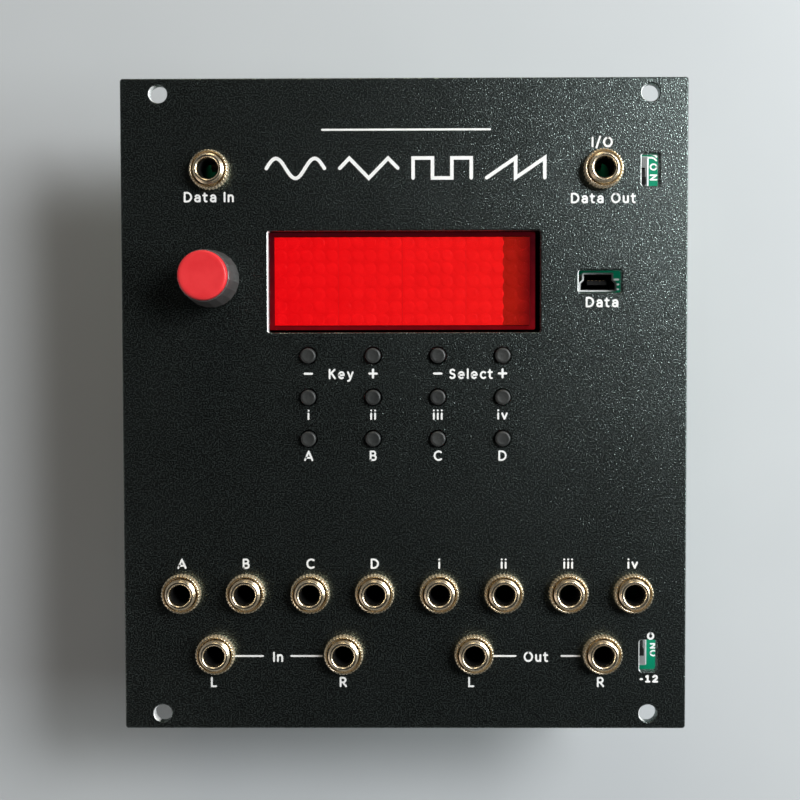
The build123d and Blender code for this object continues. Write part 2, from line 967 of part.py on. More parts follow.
save("processor", *under_main_board(processor(), [processor_shares]))
memory_chip = block(memory_width, memory_length, memory_thickness)
save("memory_chips", *under_main_board(memory_chip, memory_shares))
converter = leaded_chip(
    converter_width,
    converter_length,
    converter_thickness,
    converter_lead_count,
    converter_lead_pitch,
)
save("converter_chips", *under_main_board(converter, converter_shares))
amplifier = leaded_chip(
    amplifier_width,
    amplifier_length,
    amplifier_thickness,
    amplifier_lead_count,
    amplifier_lead_pitch,
)
amplifier_places = [(x, y) for x in amplifier_column_shares for y in amplifier_row_shares]
save("amplifier_chips", *under_main_board(amplifier, amplifier_places))
coupler = leaded_chip(
    coupler_width, coupler_length, coupler_thickness, coupler_lead_count, coupler_lead_pitch
)
save("optocoupler", *under_main_board(coupler, [coupler_shares]))
regulator = leaded_chip(
    regulator_width,
    regulator_length,
    regulator_thickness,
    regulator_lead_count,
    regulator_lead_pitch,
)
save("regulators", *under_main_board(regulator, regulator_shares))
save("inductors", *under_main_board(inductor(), inductor_shares))
save("crystal", *under_main_board(crystal(), [crystal_shares]))
chip_places = [(x, y) for y in chip_row_height_shares for x in chip_row_place_shares]
chip_places += [(chip_column_place_share, y) for y in chip_column_height_shares]
save("small_chips", *under_main_board(Rot(0, 0, 90) * small_chip(), chip_places))
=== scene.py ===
"""Looks of the synthesiser module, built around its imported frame.

Pieces are modelled in millimetres in the frame of the part, and scaled to metres when
they are added. Z is out of the front panel, X to its right and Y to its top.
"""

import math
import random

import bmesh
import bpy
from mathutils import Matrix, Vector


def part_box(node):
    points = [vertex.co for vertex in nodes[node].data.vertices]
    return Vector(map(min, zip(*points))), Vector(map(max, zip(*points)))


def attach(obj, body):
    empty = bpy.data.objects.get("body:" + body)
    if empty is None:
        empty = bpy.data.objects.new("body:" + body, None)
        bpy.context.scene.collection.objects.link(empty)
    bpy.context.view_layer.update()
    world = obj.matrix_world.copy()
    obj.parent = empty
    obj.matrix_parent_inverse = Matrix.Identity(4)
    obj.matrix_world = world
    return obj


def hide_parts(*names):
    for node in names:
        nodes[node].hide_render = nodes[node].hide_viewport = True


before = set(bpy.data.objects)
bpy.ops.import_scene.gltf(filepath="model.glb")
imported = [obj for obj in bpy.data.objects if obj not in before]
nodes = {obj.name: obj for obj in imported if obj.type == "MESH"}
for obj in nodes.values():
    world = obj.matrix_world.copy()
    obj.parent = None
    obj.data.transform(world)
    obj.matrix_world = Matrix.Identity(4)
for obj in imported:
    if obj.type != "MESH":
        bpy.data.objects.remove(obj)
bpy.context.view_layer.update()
bpy.context.scene.view_settings.view_transform = "Standard"

MM = 0.001
BODY = "module"


def low(node):
    """Lowest corner of a node, in millimetres."""
    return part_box(node)[0] / MM


def high(node):
    """Highest corner of a node, in millimetres."""
    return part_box(node)[1] / MM


def middle(box):
    """X and Y of the middle of a box."""
    return (box[0].x + box[1].x) / 2, (box[0].y + box[1].y) / 2


def middle_of(node):
    """X and Y of the middle of a node."""
    return middle((low(node), high(node)))


def node_bmesh(name):
    """A copy of a CAD node's mesh, welded, in millimetres."""
    bm = bmesh.new()
    bm.from_mesh(nodes[name].data)
    bm.transform(Matrix.Scale(1 / MM, 4))
    bmesh.ops.remove_doubles(bm, verts=bm.verts, dist=1e-4)
    return bm


def islands(name):
    """The lowest and highest corner of each separate solid of a node, from left to right."""
    bm = node_bmesh(name)
    left = set(bm.verts)
    boxes = []
    while left:
        group = [left.pop()]
        for vert in group:
            near = {edge.other_vert(vert) for edge in vert.link_edges} & left
            left -= near
            group += near
        boxes.append([Vector(map(end, *(vert.co for vert in group))) for end in (min, max)])
    bm.free()
    boxes.sort(key=lambda b: (round(b[0].x, 1), round(b[0].y, 1)))
    return boxes


def middles(node):
    """X and Y of the middle of each solid of a node."""
    return [middle(box) for box in islands(node)]


# Heights of the panel and the two boards, and places from left to right, in the frame
panel_top, panel_back = high("front_panel").z, low("front_panel").z
front_top, front_back = high("front_board").z, low("front_board").z
main_top, main_back = high("main_board").z, low("main_board").z
jacks = middles("jack_nuts")
signal_jacks = [jack for jack in jacks if -40 < jack[1] < -30]
buttons = [middle_of(f"button_{number}") for number in range(1, 13)]
knob_place = middle_of("knob_cap")


# ---- Materials


class Paint:
    """A material's Principled shader and the nodes that feed it. Inputs are named with
    underscores, and take a socket, a number or a colour."""

    def __init__(self, name):
        self.material = bpy.data.materials.new(name)
        self.material.use_nodes = True
        self.tree = self.material.node_tree
        self.shader = self.tree.nodes["Principled BSDF"]
        self.place = self.node("TexCoord", "Object")

    def put(self, socket, value):
        """Link a socket, or set it."""
        if isinstance(value, bpy.types.NodeSocket):
            self.tree.links.new(value, socket)
        else:
            socket.default_value = (*value, 1) if isinstance(value, tuple) else value

    def set(self, shader=None, **inputs):
        """Set inputs of a node, or else of the material's own shader."""
        for name, value in inputs.items():
            self.put((shader or self.shader).inputs[name.replace("_", " ")], value)

    def node(self, kind, output, **inputs):
        """An output of a new node."""
        made = self.tree.nodes.new("ShaderNode" + kind)
        self.set(made, **inputs)
        return made.outputs[output]

    def noise(self, scale, detail, roughness=0.5):
        """Noise over the piece's own coordinates, in metres."""
        return self.node(
            "TexNoise", "Fac", Vector=self.place, Scale=scale, Detail=detail, Roughness=roughness
        )

    def remap(self, value, low_in, high_in, low_out=0, high_out=1):
        """A value moved linearly from one range to another, and kept inside it."""
        return self.node(
            "MapRange", "Result", Value=value, From_Min=low_in, From_Max=high_in,
            To_Min=low_out, To_Max=high_out,
        )

    def blend(self, factor, first, second):
        """A colour between two."""
        mix = self.tree.nodes.new("ShaderNodeMix")
        mix.data_type = "RGBA"
        for key, value in (("Factor", factor), (6, first), (7, second)):
            self.put(mix.inputs[key], value)
        return mix.outputs[2]

    def maths(self, operation, first, second=0.0):
        """One step of arithmetic."""
        made = self.tree.nodes.new("ShaderNodeMath")
        made.operation = operation
        self.put(made.inputs[0], first)
        self.put(made.inputs[1], second)
        return made.outputs[0]

    def times(self, first, second):
        """A product."""
        return self.maths("MULTIPLY", first, second)

    def size(self, value):
        """A value without its sign."""
        return self.maths("ABSOLUTE", value)

    def axis(self, name, vector=None):
        """One part of a vector, or else of the place."""
        return self.node("SeparateXYZ", name, Vector=vector or self.place)

    def facing(self, name, kind="True Normal"):
        """One part of the surface's direction."""
        return self.axis(name, self.node("NewGeometry", kind))

    def bump(self, height, distance):
        """Bump from a height value, over a distance in metres."""
        made = self.node("Bump", "Normal", Height=height, Distance=distance, Strength=1.0)
        self.set(Normal=made)


def plain_finish(name, dark, light, metallic, rough, grain, bump, specular=0.5, wall=None):
    """A finish between two colours and two roughnesses, with a fine grain. Upright walls may
    be rougher, so that a knurl throws no glints."""
    paint = Paint(name)
    fine = paint.noise(grain, 3, 0.6)
    roughness = paint.remap(fine, 0.3, 0.7, *rough)
    if wall:
        upright = paint.remap(paint.size(paint.facing("Z")), 0.25, 0.55, wall, 0)
        roughness = paint.maths("MAXIMUM", roughness, upright)
    cloud = paint.remap(paint.noise(grain / 6, 4), 0.35, 0.65)
    paint.set(
        Base_Color=paint.blend(cloud, dark, light), Roughness=roughness, Metallic=metallic,
        Specular_IOR_Level=specular,
    )
    paint.bump(fine, bump * 1e-6)
    return paint.material


def coat_material():
    """Black speckled powder coat, with a painted highlight: the walls of the openings that face
    right, towards the lamps, are painted bright like bare metal.
    """
    paint = Paint("panel_coat")
    grain = paint.noise(4200, 1)
    fleck = paint.noise(3600, 0)
    smear = paint.noise(45, 5, 0.6)
    x, y = paint.axis("X"), paint.axis("Y")
    edge_x, edge_y, buttons_y, buttons_reach = 0.0549, 0.0637, 0.0017, 0.0115

    def nearer(value, limit, inside=1):
        """A mask of where a value is nearer to zero than a limit, or with 0, farther."""
        return paint.remap(paint.size(value), limit - 1e-4, limit + 1e-4, inside, 1 - inside)

    off_edges = paint.times(nearer(x, edge_x), nearer(y, edge_y))
    off_buttons = nearer(paint.maths("SUBTRACT", y, buttons_y), buttons_reach, 0)
    # Painted highlight: walls facing right, towards the key and window lamps, are masked here and
    # painted bright, a little metallic and with less bump.
    right_facing_highlight = paint.remap(paint.facing("X"), 0.3, 0.5)
    wall = paint.times(paint.times(right_facing_highlight, off_edges), off_buttons)
    speck = paint.remap(grain, 0.35, 0.65)
    coat = paint.blend(speck, (0.001, 0.0008, 0.0009), (0.0026, 0.0026, 0.0025))
    flake = paint.times(paint.remap(fleck, 0.55, 0.64), paint.remap(wall, 0, 1, 1, 0))
    flaked = paint.blend(flake, coat, (0.16, 0.2, 0.19))
    flecked = paint.remap(fleck, 0.5, 0.6, 0.29, 0.23)
    uneven = paint.remap(smear, 0.3, 0.75, 0.02, -0.02)
    # The right-facing walls take the painted highlight's bright colour and some metallic sheen.
    paint.set(
        Base_Color=paint.blend(wall, flaked, (0.86, 0.87, 0.87)),
        Metallic=paint.maths("ADD", paint.times(wall, 0.25), flake),
        Roughness=paint.maths("ADD", flecked, uneven),
        Specular_IOR_Level=0.68, Specular_Tint=(0.84, 1.0, 0.98),
    )
    paint.bump(paint.times(grain, paint.remap(wall, 0, 1, 1.0, 0.1)), 0.00007)
    return paint.material


def board_material():
    """Green solder mask over a faint weave, with bare laminate round the edge."""
    paint = Paint("board_green")
    cloud = paint.remap(paint.noise(60, 3), 0.3, 0.7)
    green = paint.blend(cloud, (0.002, 0.19, 0.1), (0.004, 0.27, 0.145))
    edge = paint.remap(paint.size(paint.facing("Z", "Normal")), 0.4, 0.6, 1, 0)
    paint.set(
        Base_Color=paint.blend(edge, green, (0.16, 0.17, 0.07)),
        Roughness=paint.remap(edge, 0, 1, 0.32, 0.75), Specular_IOR_Level=0.15,
    )
    paint.bump(paint.noise(2200, 2), 0.000012)
    return paint.material


def glow_material(name, axis, span, start, end, base=0.06):
    """A red glow that wavers, and shifts from one pair of colours to another along an axis."""
    paint = Paint(name)
    cloud = paint.remap(paint.noise(420, 3), 0.3, 0.7)
    along = paint.remap(paint.axis(axis), *span)
    first, second = (paint.blend(cloud, *pair) for pair in (start, end))
    paint.set(
        Emission_Color=paint.blend(along, first, second), Emission_Strength=1.0,
        Base_Color=(base, base / 20, base / 20), Specular_IOR_Level=0.15,
        Roughness=paint.remap(cloud, 0, 1, 0.4, 0.55),
    )
    return paint.material


def filter_material():
    """The tinted sheet over the display, with a little dust."""
    paint = Paint("filter_red")
    paint.set(
        Base_Color=(1.0, 0.3, 0.32), Transmission_Weight=1.0, IOR=1.2,
        Roughness=paint.remap(paint.noise(900, 4, 0.7), 0.5, 0.8, 0.02, 0.08),
    )
    return paint.material


coat = coat_material()
board = board_material()
plating = ((0.75, 0.62, 0.43), (0.87, 0.76, 0.57), 1.0, (0.21, 0.31), 1500, 1)
nickel = plain_finish("nickel", *plating)
nickel_knurled = plain_finish("nickel_knurled", *plating, wall=0.65)

# Dark and light colour, metallic, roughnesses, grain per metre, bump in micrometres, specular
tin, steel, aluminium, bronze = (plain_finish(*row) for row in (
    ("tin", (0.62, 0.63, 0.64), (0.8, 0.8, 0.8), 0.75, (0.24, 0.38), 1500, 10),
    ("steel", (0.76, 0.78, 0.79), (0.9, 0.91, 0.91), 0.35, (0.26, 0.4), 1300, 6),
    ("can_aluminium", (0.72, 0.73, 0.75), (0.86, 0.87, 0.88), 0.9, (0.3, 0.42), 900, 10),
    ("spring_bronze", (0.5, 0.32, 0.14), (0.66, 0.46, 0.24), 1.0, (0.24, 0.36), 1200, 6),
))
(
    black_plastic, chip_black, button_grey, knob_black, lever_grey, cap_red, tile_grey, ferrite,
    chip_tan, port_black, slider_pale, ink, silk, trace_green, foam_dark,
) = (plain_finish(name, dark, light, 0.0, *rest) for name, dark, light, *rest in (
    ("moulding_black", (0.01, 0.01, 0.011), (0.022, 0.022, 0.023), (0.42, 0.58), 1600, 30),
    ("chip_black", (0.012, 0.012, 0.013), (0.026, 0.026, 0.027), (0.5, 0.66), 2600, 40),
    ("button_grey", (0.018, 0.02, 0.02), (0.032, 0.034, 0.033), (0.34, 0.52), 2200, 20),
    ("knob_black", (0.052, 0.047, 0.047), (0.08, 0.073, 0.073), (0.28, 0.38), 2000, 20, 0.9),
    ("lever_grey", (0.022, 0.022, 0.023), (0.045, 0.045, 0.046), (0.4, 0.55), 2000, 20),
    ("cap_red", (0.73, 0.03, 0.036), (0.81, 0.042, 0.048), (0.32, 0.44), 1400, 12, 0.3),
    ("tile_grey", (0.05, 0.05, 0.055), (0.08, 0.08, 0.085), (0.45, 0.6), 1500, 20),
    ("inductor_grey", (0.06, 0.06, 0.065), (0.11, 0.11, 0.115), (0.5, 0.7), 1800, 40),
    ("chip_tan", (0.33, 0.22, 0.12), (0.46, 0.33, 0.19), (0.4, 0.6), 1800, 20),
    ("port_black", (0.003, 0.003, 0.003), (0.007, 0.007, 0.007), (0.5, 0.7), 1600, 20, 0.2),
    ("slider_pale", (0.42, 0.43, 0.43), (0.55, 0.56, 0.56), (0.4, 0.55), 1600, 20),
    ("print_white", (0.84, 0.85, 0.84), (0.93, 0.94, 0.93), (0.45, 0.6), 3000, 8),
    ("silk_white", (0.72, 0.76, 0.73), (0.88, 0.9, 0.88), (0.5, 0.65), 3000, 8),
    ("trace_green", (0.01, 0.28, 0.15), (0.018, 0.36, 0.195), (0.26, 0.38), 1500, 6, 0.3),
    ("foam_dark", (0.006, 0.002, 0.003), (0.014, 0.003, 0.005), (0.7, 0.85), 2500, 60, 0.2),
))
display_span = (-0.026, 0.022)
glow, gap_painted_glow, unlit_painted_glow, foam = (glow_material(*row) for row in (
    # Lit dots: a real red glow, painted brighter and whiter towards the right as a painted
    # reflection of the lamps in the filter.
    ("dot_glow", "X", display_span, ((0.74, 0.009, 0.016), (0.82, 0.013, 0.021)),
     ((0.78, 0.03, 0.028), (0.86, 0.038, 0.034))),
    # Faces between the lit dots: a painted glow of light spread from the dots, brighter and whiter
    # towards the right like them.
    ("dot_gap_painted_glow", "X", display_span, ((0.71, 0.008, 0.014), (0.78, 0.011, 0.019)),
     ((0.75, 0.026, 0.024), (0.83, 0.033, 0.03))),
    # Unlit columns: a painted glow of light scattered from the lit dots, fading away from them to
    # the right.
    ("dot_unlit_painted_glow", "X", (0.0222, 0.025), ((0.29, 0.026, 0.012), (0.35, 0.033, 0.015)),
     ((0.12, 0.01, 0.012), (0.16, 0.012, 0.014))),
    # Inner band of the foam frame: painted red light from the dots, fading towards the top.
    ("gasket_painted_glow", "Y", (0.0145, 0.035), ((0.12, 0.006, 0.01), (0.17, 0.008, 0.014)),
     ((0.03, 0.004, 0.008), (0.045, 0.005, 0.011)), 0.03),
))
tinted = filter_material()


# ---- Shapes


def add_object(name, data):
    """A new object in the scene."""
    made = bpy.data.objects.new(name, data)
    bpy.context.scene.collection.objects.link(made)
    return made


def add_piece(name, bm, materials, replaced=(), body=BODY, sharp=32):
    """A piece from a bmesh in millimetres, riding on a body: smooth but for edges sharper
    than an angle in degrees, or flat and as built when that is 0."""
    if sharp:
        soften(bm, math.radians(sharp))
    mesh = bpy.data.meshes.new(name)
    bm.to_mesh(mesh)
    bm.free()
    mesh.transform(Matrix.Scale(MM, 4))
    for material in materials:
        mesh.materials.append(material)
    piece = add_object(name, mesh)
    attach(piece, body)
    if replaced:
        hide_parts(*replaced)


def soften(bm, limit):
    """Smooth shading but for edges sharper than a limit and those round flat ends."""
    bmesh.ops.recalc_face_normals(bm, faces=bm.faces)
    for face in bm.faces:
        face.smooth = True
    for edge in bm.edges:
        angle = edge.calc_face_angle(0) if len(edge.link_faces) == 2 else math.pi
        flat = any(len(face.verts) == 3 and abs(face.normal.z) > 0.999 for face in edge.link_faces)
        edge.smooth = angle < (math.radians(1) if flat else limit)


def bridge(bm, rings, material=0):
    """Walls between each ring and the next. A ring of one point closes the form."""
    for upper, lower in zip(rings, rings[1:]):
        for i in range(max(len(upper), len(lower))):
            pairs = ((upper, i - 1), (lower, i - 1), (lower, i), (upper, i))
            corners = dict.fromkeys(ring[k % len(ring)] for ring, k in pairs)
            bm.faces.new(list(corners)).material_index = material


def lathe(bm, profile, centre, steps, radius=None, material=0):
    """Turn a profile of (radius, height) points about an upright axis. One that doesn't
    reach the axis is closed on itself, and radius(r, angle) may shape a ring."""
    x, y = centre
    rings = []
    for r, z in profile:
        rings.append([])
        for step in range(steps if r else 1):
            angle = 2 * math.pi * step / steps
            reach = radius(r, angle) if radius else r
            spot = (x + reach * math.cos(angle), y + reach * math.sin(angle), z)
            rings[-1].append(bm.verts.new(spot))
    if all(r for r, _ in profile):
        rings.append(rings[0])
    bridge(bm, rings, material)


def add_box(bm, near, far, material=0):
    """A plain box between two corners."""
    (x0, y0, z0), (x1, y1, z1) = near, far
    outline = ((x0, y0), (x1, y0), (x1, y1), (x0, y1))
    corners = [bm.verts.new((*point, z)) for z in (z0, z1) for point in outline]
    for face in (
        (0, 3, 2, 1), (4, 5, 6, 7), (0, 1, 5, 4), (1, 2, 6, 5), (2, 3, 7, 6), (3, 0, 4, 7)
    ):
        bm.faces.new([corners[i] for i in face]).material_index = material


def rounded_outline(x, y, width, height, r, steps=6):
    """A rounded rectangle's points."""
    points = []
    for corner, (sx, sy) in enumerate(((1, 1), (-1, 1), (-1, -1), (1, -1))):
        cx, cy = x + sx * (width / 2 - r), y + sy * (height / 2 - r)
        for i in range(steps + 1):
            angle = math.pi / 2 * (corner + i / steps)
            points.append((cx + r * math.cos(angle), cy + r * math.sin(angle)))
    return points


def offset_loop(points, distance):
    """A closed loop moved by a distance towards its left-hand side."""
    points = [Vector(point) for point in points]
    moved = []
    for before, here, after in zip([points[-1], *points], points, [*points[1:], points[0]]):
        inward, outward = (here - before).normalized(), (after - here).normalized()
        side = Vector((-inward.y - outward.y, inward.x + outward.x)).normalized()
        reach = distance / max(0.5, side.dot(Vector((-inward.y, inward.x))))
        moved.append(here + side * reach)
    return moved


def rounding(r, steps):
    """The insets and drops of a quarter round, from its flat end."""
    angles = [math.pi / 2 * i / steps for i in range(steps + 1)]
    return [(r * (1 - math.sin(angle)), r * (1 - math.cos(angle))) for angle in angles]


def fill(bm, rings, material=0):
    """A flat end inside a ring, and outside the others."""
    edges = [bm.edges.get((ring[i - 1], ring[i])) for ring in rings for i in range(len(ring))]
    filled = bmesh.ops.triangle_fill(bm, use_beauty=True, use_dissolve=False, edges=edges)
    for item in filled["geom"]:
        if isinstance(item, bmesh.types.BMFace):
            item.material_index = material


def slab(bm, loops, bottom, top, steps=4, material=0):
    """A plate between two heights, from closed loops that each have the solid on their left
    and a rounding of their own."""
    ends = []
    for points, edge in loops:
        rows = rounding(edge, steps)
        heights = [(inset, top - drop) for inset, drop in rows]
        heights += [(inset, bottom + drop) for inset, drop in reversed(rows)]
        rings = [
            [bm.verts.new((*p, z)) for p in offset_loop(points, inset)] for inset, z in heights
        ]
        bridge(bm, rings, material)
        ends.append((rings[0], rings[-1]))
    for rings in zip(*ends):
        fill(bm, rings, material)


def plate(bm, centre, size, corner, edge, span, steps=2, corner_steps=6, material=0):
    """A rounded rectangle as a slab between two heights."""
    outline = rounded_outline(*centre, *size, corner, corner_steps)
    slab(bm, [(outline, edge)], *span, steps, material)


def turned(r, z, *points):
    """Points of a profile, as insets from a radius and drops from a height."""
    return [(r - inset, z - drop) for inset, drop in points]


def copies(part, places, turn=0):
    """A bmesh with a part at each of some places, each turned further by an angle."""
    bm = bmesh.new()
    holder = bpy.data.meshes.new("holder")
    for number, place in enumerate(places):
        part.to_mesh(holder)
        holder.transform(Matrix.Translation((*place, 0)) @ Matrix.Rotation(turn * number, 4, "Z"))
        bm.from_mesh(holder)
    bpy.data.meshes.remove(holder)
    part.free()
    return bm


def outline_loops(name, height):
    """The closed outlines of a node's upward face at a height."""
    bm = node_bmesh(name)
    onward = {}
    for face in bm.faces:
        if face.normal.z < 0.9 or abs(face.calc_center_median().z - height) > 1e-3:
            continue
        for loop in face.loops:
            if all(other.normal.z < 0.9 for other in loop.edge.link_faces if other != face):
                onward[loop.vert] = loop.link_loop_next.vert
    loops = []
    while onward:
        vert, points = next(iter(onward)), []
        while vert in onward:
            points.append((vert.co.x, vert.co.y))
            vert = onward.pop(vert)
        loops.append(points)
    bm.free()
    return loops


# ---- Camera, floor and light


def make_camera():
    """The photograph's own view, from straight above the panel."""
    data = bpy.data.cameras.new("camera")
    data.lens, data.sensor_width, data.clip_start = 49.5, 36.0, 0.01
    camera = add_object("camera", data)
    camera.location = (0.00069, 0.007734, 0.253365)
    camera.rotation_euler = (-0.03032, 0.00704, -0.00195)
    bpy.context.scene.camera = camera


def make_floor():
    """A plain pale floor under the module."""
    reach = 3.0
    corners = [(reach * x, reach * y, 0) for x, y in ((-1, -1), (1, -1), (1, 1), (-1, 1))]
    mesh = bpy.data.meshes.new("floor")
    mesh.from_pydata(corners, [], [(0, 1, 2, 3)])
    paint = Paint("floor_pale")
    pale = paint.blend(paint.noise(18, 3), (0.52, 0.55, 0.57), (0.58, 0.61, 0.63))
    paint.set(Base_Color=pale, Roughness=0.8)
    mesh.materials.append(paint.material)
    floor = add_object("floor", mesh)


def area_light(name, place, size, power, colour=(1, 1, 1)):
    """A square soft light aimed at the middle of the panel."""
    data = bpy.data.lights.new(name, "AREA")
    data.shape, data.size, data.energy, data.color = "SQUARE", size, power, colour
    light = add_object(name, data)
    light.location = place
    aim = Vector((0, 0, panel_top * MM)) - Vector(place)
    light.rotation_euler = aim.to_track_quat("-Z", "Y").to_euler()


def make_world():
    """A surround that is pale low down and dark overhead."""
    world = bpy.data.worlds.new("studio")
    bpy.context.scene.world = world
    world.use_nodes = True
    tree = world.node_tree
    coords, parts, ramp = (
        tree.nodes.new("ShaderNode" + kind) for kind in ("TexCoord", "SeparateXYZ", "ValToRGB")
    )
    tree.links.new(coords.outputs["Generated"], parts.inputs["Vector"])
    tree.links.new(parts.outputs["Z"], ramp.inputs["Fac"])
    tree.links.new(ramp.outputs["Color"], tree.nodes["Background"].inputs["Color"])
    stops = ((0.0, 0.6), (0.22, 0.48), (0.5, 0.13), (0.8, 0.018), (1.0, 0.006))
    for height, _ in stops[1:-1]:
        ramp.color_ramp.elements.new(height)
    for element, (height, level) in zip(ramp.color_ramp.elements, stops):
        element.position = height
        element.color = (level, level, level, 1)


make_camera()
make_floor()
make_world()
area_light("key", (0.37, 0.21, 0.46), 0.22, 3.3)
area_light("window", (0.82, 0.04, 0.42), 0.26, 4.4, (0.94, 1.0, 1.0))
area_light("side", (-0.45, -0.3, 0.3), 0.3, 0.3, (1.0, 0.86, 0.8))
area_light("far", (-0.04, 0.62, 0.26), 0.22, 0.7, (1.0, 0.86, 0.62))


# ---- Front panel


def panel_edge(points):
    """The rounding of an edge of the panel: small where a button fills the opening."""
    centre = sum((Vector(p) for p in points), Vector((0, 0))) / len(points)
    around_button = any((centre - Vector(place)).length < 1 for place in buttons)
    return 0.06 if around_button else 0.26


def make_panel():
    """The plate, its edges rounded; its coat paints the walls of the openings that face right
    bright, a painted highlight.
    """
    bm = bmesh.new()
    loops = outline_loops("front_panel", panel_top)
    slab(bm, [(points, panel_edge(points)) for points in loops], panel_back, panel_top)
    add_piece("panel_plate", bm, [coat], ["front_panel"], sharp=30)


make_panel()


# ---- Print on the panel

print_thickness = 0.03
line_width = 0.37


def arc(x, y, rx, ry, first, last, steps=12):
    """Points of an elliptic arc between two angles in degrees."""
    turns = (math.radians(first + (last - first) * i / steps) for i in range(steps + 1))
    return [(x + rx * math.cos(t), y + ry * math.sin(t)) for t in turns]


# Letters as lines: their width, and their strokes from the left end of the baseline, for
# capitals 1.7 high between the middles of their lines
CAPITAL, FIGURE, GAP = 1.7, 1.14, 0.78
STEM = [(0, 0), (0, CAPITAL)]
GLYPHS = {
    " ": (0.25, []),
    "A": (1.46, [[(0, 0), (0.73, 1.7)], [(0.73, 1.7), (1.46, 0)], [(0.21, 0.46), (1.25, 0.46)]]),
    "B": (1.02, [
        STEM,
        [(0, 1.7), (0.5, 1.7), *arc(0.5, 1.3, 0.42, 0.4, 80, -80), (0.5, 0.9), (0, 0.9)],
        [(0.5, 0.9), *arc(0.56, 0.45, 0.46, 0.45, 80, -80), (0.5, 0), (0, 0)],
    ]),
    "C": (1.28, [arc(0.8, 0.85, 0.8, 0.85, 52, 308, 20)]),
    "D": (1.28, [
        STEM, [(0, 1.7), (0.42, 1.7), *arc(0.42, 0.85, 0.86, 0.85, 80, -80), (0.42, 0), (0, 0)],
    ]),
    "I": (0, [STEM]),
    "K": (1.05, [STEM, [(0.98, 1.7), (0.02, 0.78)], [(0.36, 1.02), (1.05, 0)]]),
    "L": (0.85, [[(0, 1.7), (0, 0), (0.85, 0)]]),
    "N": (1.2, [STEM, [(0, 1.66), (1.2, 0.04)], [(1.2, 0), (1.2, 1.7)]]),
    "O": (1.5, [arc(0.75, 0.85, 0.75, 0.85, 90, 450, 24)]),
    "R": (1.05, [
        STEM, [(0, 1.7), (0.5, 1.7), *arc(0.5, 1.25, 0.48, 0.45, 80, -80), (0.5, 0.8), (0, 0.8)],
        [(0.46, 0.78), (1.08, 0)],
    ]),
    "S": (0.95, [[*arc(0.5, 1.27, 0.42, 0.42, 35, 250), *arc(0.46, 0.43, 0.48, 0.43, 70, -145)]]),
    "a": (0.9, [
        [*arc(0.46, 0.8, 0.44, 0.42, 150, 0), (0.9, 0)],
        [(0.9, 0.68), (0.46, 0.68), *arc(0.4, 0.34, 0.4, 0.34, 90, 270), (0.55, 0), (0.9, 0.26)],
    ]),
    "c": (0.82, [arc(0.53, 0.61, 0.53, 0.61, 48, 312)]),
    "e": (1.0, [[(0.04, 0.62), (0.98, 0.62), *arc(0.5, 0.61, 0.5, 0.61, 8, 306)]]),
    "i": (0, [[(0, 0), (0, 1.08)], [(-0.02, 1.68), (0.02, 1.68)]]),
    "l": (0, [[(0, 0), (0, 1.75)]]),
    "n": (0.84, [[(0, 0), (0, 1.2)], [(0, 0.7), *arc(0.43, 0.72, 0.42, 0.49, 165, 0), (0.85, 0)]]),
    "t": (0.62, [
        [(0.18, 1.58), (0.18, 0.32), *arc(0.5, 0.32, 0.32, 0.33, 190, 285, 5)],
        [(-0.08, 1.18), (0.6, 1.18)],
    ]),
    "u": (0.84, [
        [(0, 1.2), (0, 0.46), *arc(0.42, 0.46, 0.42, 0.47, 190, 350)], [(0.85, 1.2), (0.85, 0)],
    ]),
    "v": (0.92, [[(0, 1.08), (0.46, 0)], [(0.46, 0), (0.92, 1.08)]]),
    "y": (0.94, [[(0, 1.2), (0.49, 0.04)], [(0.94, 1.2), (0.4, -0.24), (0.22, -0.48), (0, -0.5)]]),
    "/": (0.7, [[(0, -0.2), (0.7, 1.9)]]),
    "-": (0.3, [[(0, 0.5), (0.3, 0.5)]]),
    "0": (1.08, [arc(0.54, 0.57, 0.54, 0.57, 90, 450, 20)]),
    "1": (0.62, [[(0.06, 0.98), (0.34, 1.16)], [(0.34, 1.16), (0.34, 0)], [(0, 0), (0.68, 0)]]),
    "2": (0.82, [[*arc(0.4, 0.82, 0.36, 0.34, 165, -35), (0.02, 0.02)], [(0, 0), (0.82, 0)]]),
}


def write(bm, words, x, y, z, thickness, width, scale=1.0, turn=0, back=False):
    """Words in lines of a width, centred on a place, turned by an angle in degrees, and
    mirrored where they are read from the back."""
    across = -(sum(GLYPHS[letter][0] + GAP for letter in words) - GAP) / 2
    top = FIGURE if words[-1] in "012" else CAPITAL
    way = Matrix.Rotation(math.radians(turn), 2)
    flip = -scale if back else scale
    lift = 0
    for letter in words:
        advance, lines = GLYPHS[letter]
        for points in lines:
            line = [
                way @ Vector(((across + px) * flip, (py - top / 2) * scale)) for px, py in points
            ]
            stroke(bm, [(x + p.x, y + p.y) for p in line], width, z, thickness + lift)
            lift = 0.004 - lift
        across += advance + GAP


